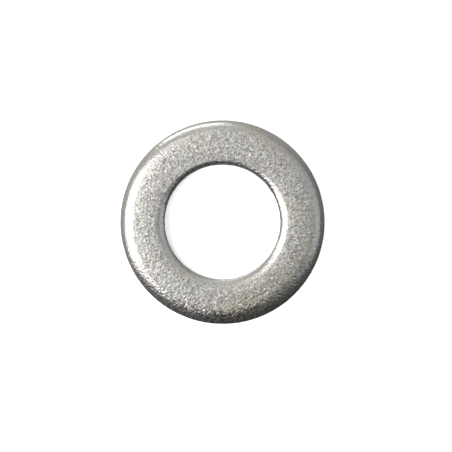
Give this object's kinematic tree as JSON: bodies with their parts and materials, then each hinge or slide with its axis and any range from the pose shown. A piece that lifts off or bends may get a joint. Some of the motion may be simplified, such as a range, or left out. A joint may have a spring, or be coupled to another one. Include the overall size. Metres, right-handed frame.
{
  "type": "flat washer",
  "caption": "Plain round flat washer of stamped, bright-plated steel, with rolled-over upper edges, for an M16 bolt.",
  "frame": {"origin": "centre of the hole at the lower bearing face, the face that the washer rests on", "axes": "+Z along the hole's axis, from the lower bearing face towards the face with the rolled-over edges; X and Y lie in the bearing face and are interchangeable"},
  "size_m": [0.03, 0.03, 0.003],
  "materials": {
    "zinc_plated_steel": "bright zinc plating over sheet steel: sparkly fine-grained bearing faces, smoother rolled edges, scored sheared lands and a torn break"
  },
  "bodies": {
    "root": {"washer": "zinc_plated_steel"}
  },
  "joints": []
}
